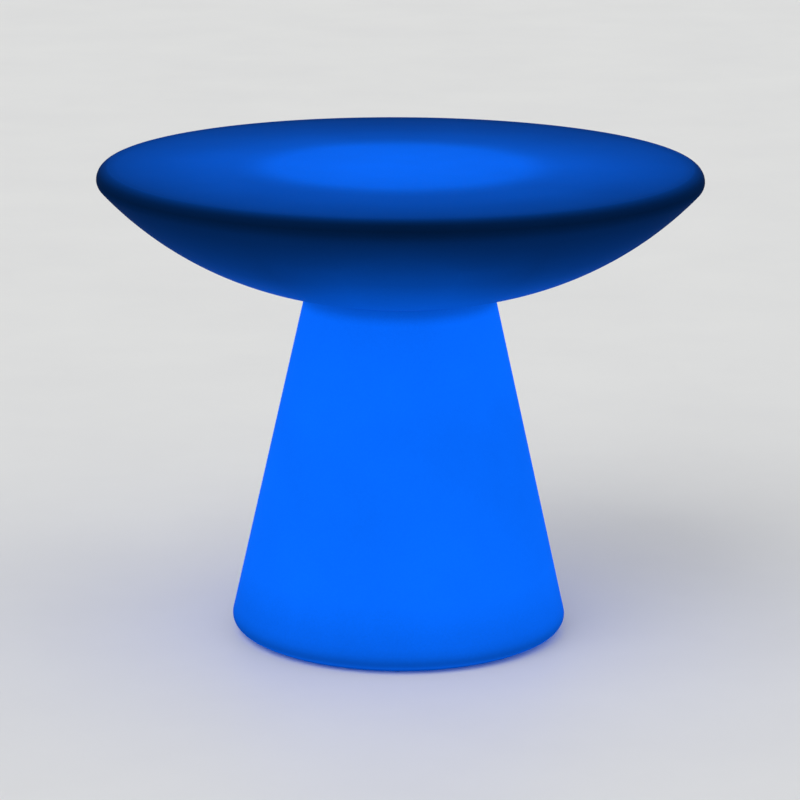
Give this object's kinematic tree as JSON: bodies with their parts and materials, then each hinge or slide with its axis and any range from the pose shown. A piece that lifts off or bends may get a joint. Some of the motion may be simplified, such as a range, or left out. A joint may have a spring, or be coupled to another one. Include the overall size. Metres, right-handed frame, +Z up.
{
  "type": "light-up side table",
  "caption": "Round side table lit from inside: a lens-shaped dish top with a flat face on a tapered base, with a rechargeable light module under the base.",
  "frame": {"origin": "On the floor under the middle of the table, at the centre of the foot pads' undersides.", "axes": "+Z is up along the table's axis. -Y is the front, the side the picture shows, and +X is the viewer's right."},
  "size_m": [0.7, 0.7, 0.555],
  "materials": {
    "lit_shell": "translucent polyethylene, rotation-moulded with a fine satin grain, glowing blue from the lamp inside",
    "white_abs": "fine moulded satin",
    "frosted_dome": "frosted light-spreading plastic",
    "black_rubber": "matt moulded rubber",
    "silicone": "matt grey silicone",
    "stainless_steel": "brushed stainless steel",
    "brass": "turned brass",
    "cell_wrap": "plain shrink sleeve",
    "circuit_board": "green solder mask",
    "plate_aluminium": "rolled aluminium sheet",
    "emitter": "clear lens over a light-emitting chip",
    "black_plastic": "moulded black plastic",
    "lens_clear": "polished clear plastic",
    "lead_red": "lead insulation",
    "lead_black": "lead insulation"
  },
  "bodies": {
    "table": {"top_shell": "lit_shell", "base_shell": "lit_shell", "module_tray": "white_abs", "diffuser_dome": "frosted_dome", "foot_pad_1": "black_rubber", "foot_pad_2": "black_rubber", "foot_pad_3": "black_rubber", "foot_pad_4": "black_rubber", "neck_gasket": "silicone", "module_seal": "silicone", "neck_bolt_1": "stainless_steel", "neck_bolt_2": "stainless_steel", "neck_bolt_3": "stainless_steel", "neck_bolt_4": "stainless_steel", "module_screw_1": "stainless_steel", "module_screw_2": "stainless_steel", "module_screw_3": "stainless_steel", "module_screw_4": "stainless_steel", "module_screw_5": "stainless_steel", "module_screw_6": "stainless_steel", "strap_screw_1": "stainless_steel", "strap_screw_2": "stainless_steel", "switch_housing": "stainless_steel", "switch_nut": "stainless_steel", "socket_nut": "stainless_steel", "button_spring": "stainless_steel", "cover_pin": "stainless_steel", "neck_insert_1": "brass", "neck_insert_2": "brass", "neck_insert_3": "brass", "neck_insert_4": "brass", "module_insert_1": "brass", "module_insert_2": "brass", "module_insert_3": "brass", "module_insert_4": "brass", "module_insert_5": "brass", "module_insert_6": "brass", "battery_cell_1": "cell_wrap", "battery_cell_2": "cell_wrap", "battery_cell_3": "cell_wrap", "control_board": "circuit_board", "battery_strap": "plate_aluminium", "lamp_plate": "plate_aluminium", "emitter_1": "emitter", "emitter_2": "emitter", "emitter_3": "emitter", "emitter_4": "emitter", "emitter_5": "emitter", "emitter_6": "emitter", "charge_socket": "black_plastic", "status_lens": "lens_clear", "socket_lead": "lead_red", "lamp_lead": "lead_red", "switch_lead": "lead_black", "battery_lead": "lead_black"},
    "button": {"power_button": "black_rubber"},
    "cover": {"socket_cover": "black_rubber"}
  },
  "joints": [
    {"name": "button_press", "type": "slide", "parent": "table", "child": "button", "axis": [0, 0, 1], "range_m": [0, 0.0015], "stiffness_N_per_m": 500, "springref_m": -0.002, "deforming": ["button_spring"]},
    {"name": "cover_hinge", "type": "hinge", "parent": "table", "child": "cover", "pos_m": [-0.0432, -0.024, 0.0217], "axis": [0, 1, 0], "range_deg": [0, 110]}
  ]
}
